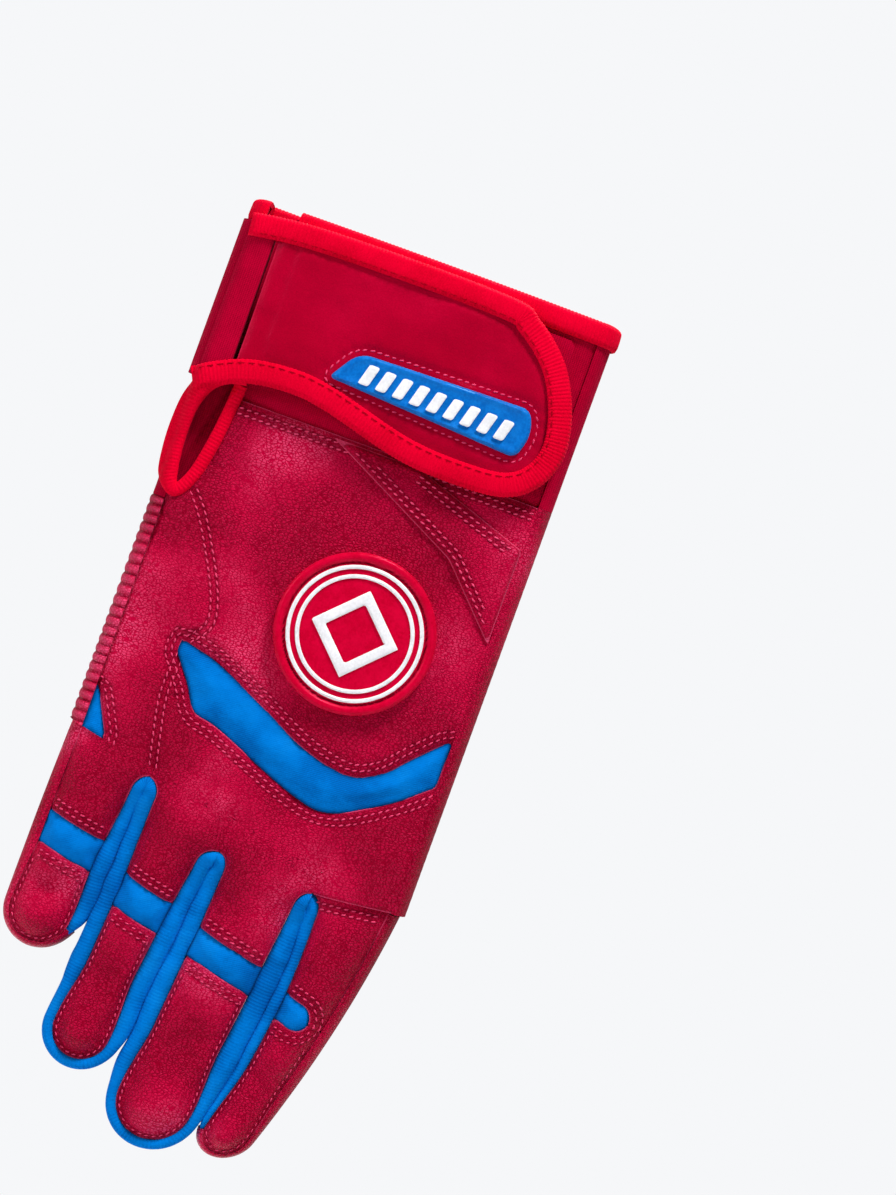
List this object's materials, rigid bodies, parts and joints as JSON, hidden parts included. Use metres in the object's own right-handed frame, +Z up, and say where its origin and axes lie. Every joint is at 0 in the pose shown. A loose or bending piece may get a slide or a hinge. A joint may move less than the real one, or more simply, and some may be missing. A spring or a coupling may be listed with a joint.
{
  "type": "batting glove",
  "caption": "Right-hand batting glove in leather with stretch finger gussets, knuckle insert, bound wrist slit, thumb folded on the palm and a hook-and-loop wrist strap that opens.",
  "frame": {"origin": "middle of the wrist opening, in the plane of the cuff's top edge", "axes": "+Z up from the fingertips to the cuff, +Y from the back of the hand to the palm, +X from the little finger's side to the forefinger's side"},
  "size_m": [0.0978, 0.0395, 0.2314],
  "materials": {
    "smooth_leather": "pebbled, satin",
    "grip_leather": "embossed in small cells, satin",
    "stretch_cloth": "fine ribbed stretch knit, matt",
    "cuff_cloth": "neoprene with a cloth face, matt",
    "binding_tape": "ribbed woven tape, matt",
    "red_rubber": "moulded, semi-gloss",
    "blue_rubber": "moulded, semi-gloss",
    "white_rubber": "moulded, semi-gloss"
  },
  "bodies": {
    "hand": {"back_panel": "smooth_leather", "knuckle_insert": "stretch_cloth", "side_insert": "stretch_cloth", "back_overlay": "smooth_leather", "palm_heel": "smooth_leather", "palm_grip": "grip_leather", "pinky_side_piping": "smooth_leather", "thumb_side_wall": "smooth_leather", "cuff_back": "cuff_cloth", "cuff_palm": "cuff_cloth", "cuff_thumb_side": "cuff_cloth", "cuff_pinky_side": "cuff_cloth", "cuff_back_binding": "binding_tape", "cuff_palm_binding": "binding_tape", "loop_pad": "cuff_cloth", "slit_binding": "binding_tape", "badge_plate": "red_rubber", "badge_ring": "white_rubber", "badge_mark": "white_rubber", "strap_anchor": "cuff_cloth"},
    "strap": {"strap_panel": "smooth_leather", "strap_root": "cuff_cloth", "strap_binding": "binding_tape", "hook_pad": "cuff_cloth", "strap_label": "blue_rubber", "label_bars": "white_rubber"},
    "little_finger": {"pinky_back": "smooth_leather", "pinky_flex_band": "stretch_cloth", "pinky_tip_back": "smooth_leather", "pinky_palm": "grip_leather", "pinky_gusset": "stretch_cloth", "pinky_outer_wall": "smooth_leather"},
    "ring_finger": {"ring_back": "smooth_leather", "ring_flex_band": "stretch_cloth", "ring_tip_back": "smooth_leather", "ring_palm": "grip_leather", "ring_gusset": "stretch_cloth"},
    "middle_finger": {"middle_back": "smooth_leather", "middle_flex_band": "stretch_cloth", "middle_tip_back": "smooth_leather", "middle_palm": "grip_leather", "middle_gusset": "stretch_cloth"},
    "forefinger": {"index_back": "smooth_leather", "index_flex_band": "stretch_cloth", "index_tip_back": "smooth_leather", "index_palm": "grip_leather", "index_gusset": "stretch_cloth", "index_outer_wall": "smooth_leather"},
    "thumb": {"thumb_outer": "smooth_leather", "thumb_inner": "smooth_leather", "thumb_wall": "smooth_leather"}
  },
  "joints": [
    {"name": "strap_hinge", "type": "hinge", "parent": "hand", "child": "strap", "pos_m": [-0.0474, -0.0111, -0.025], "axis": [0, 0, -1], "range_deg": [0, 165]},
    {"name": "little_finger_bend", "type": "hinge", "parent": "hand", "child": "little_finger", "pos_m": [-0.0357, 0.008, -0.13836], "axis": [0.9806, 0, -0.1961], "range_deg": [0, 80]},
    {"name": "ring_finger_bend", "type": "hinge", "parent": "hand", "child": "ring_finger", "pos_m": [-0.0121, 0.008, -0.14308], "axis": [0.9806, 0, -0.1961], "range_deg": [0, 80]},
    {"name": "middle_finger_bend", "type": "hinge", "parent": "hand", "child": "middle_finger", "pos_m": [0.012, 0.008, -0.1479], "axis": [0.9806, 0, -0.1961], "range_deg": [0, 80]},
    {"name": "forefinger_bend", "type": "hinge", "parent": "hand", "child": "forefinger", "pos_m": [0.0358, 0.008, -0.15266], "axis": [0.9806, 0, -0.1961], "range_deg": [0, 80]},
    {"name": "thumb_swing", "type": "hinge", "parent": "hand", "child": "thumb", "pos_m": [0.0412, 0.0076, -0.076], "axis": [0, 0, -1], "range_deg": [0, 100]}
  ]
}
